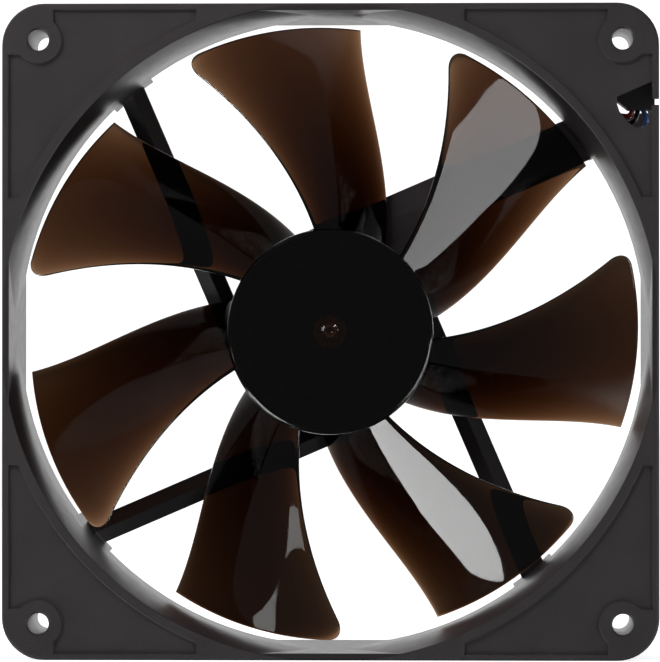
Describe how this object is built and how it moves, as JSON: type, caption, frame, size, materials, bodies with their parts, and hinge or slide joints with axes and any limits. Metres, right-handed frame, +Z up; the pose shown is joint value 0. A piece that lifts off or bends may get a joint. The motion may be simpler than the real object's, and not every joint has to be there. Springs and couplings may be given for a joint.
{
  "type": "case fan",
  "caption": "Square case fan with a round duct, slanted struts, a glossy hub and forward-swept translucent blades.",
  "frame": {"origin": "centre of the square frame, on the spin axis, half way through its depth", "axes": "+Y along the spin axis towards the outlet side, so the intake side and the hub's face look towards -Y; +Z up, with the fan standing on its lower edge; +X to the right as seen from the intake side"},
  "size_m": [0.14, 0.025, 0.14],
  "materials": {
    "frame_plastic": "fine matt texture, charcoal black",
    "impeller_plastic": "glossy translucent smoke brown",
    "brass": "machined",
    "sintered_bronze": "sintered, dull",
    "black_plastic": "satin black",
    "white_plastic": "satin white",
    "core_steel": "dark laminated steel",
    "insulator_plastic": "satin off-white",
    "board_green": "green solder resist",
    "chip_black": "satin black",
    "capacitor_tan": "satin tan",
    "tin_plate": "tinned",
    "label_paper": "plain dark label, blank",
    "shaft_steel": "ground steel",
    "yoke_steel": "plated sheet steel",
    "magnet_rubber": "plain dark grey",
    "copper_wire": "enamelled copper",
    "lead_white": "satin white insulation",
    "lead_blue": "satin blue insulation",
    "lead_black": "satin black insulation",
    "lead_red": "satin red insulation"
  },
  "bodies": {
    "housing": {"frame": "frame_plastic", "bearing_tube": "brass", "bearing_sleeve": "sintered_bronze", "oil_seal": "black_plastic", "thrust_pad": "white_plastic", "bearing_plug": "black_plastic", "stator_core": "core_steel", "insulator_front": "insulator_plastic", "insulator_rear": "insulator_plastic", "coil_1": "copper_wire", "coil_2": "copper_wire", "coil_3": "copper_wire", "coil_4": "copper_wire", "circuit_board": "board_green", "motor_driver": "chip_black", "hall_sensor": "chip_black", "capacitor": "capacitor_tan", "resistors": "chip_black", "winding_pins": "tin_plate", "connector_header": "black_plastic", "header_pins": "tin_plate", "lead_white": "lead_white", "lead_blue": "lead_blue", "lead_black": "lead_black", "lead_red": "lead_red", "rear_label": "label_paper"},
    "rotor": {"impeller": "impeller_plastic", "shaft": "shaft_steel", "shaft_bush": "brass", "shaft_clip": "shaft_steel", "thrust_washer": "white_plastic", "rotor_yoke": "yoke_steel", "ring_magnet": "magnet_rubber"}
  },
  "joints": [
    {"name": "rotor_spin", "type": "hinge", "parent": "housing", "child": "rotor", "pos_m": [0, 0, 0], "axis": [0, -1, 0], "continuous": true}
  ]
}
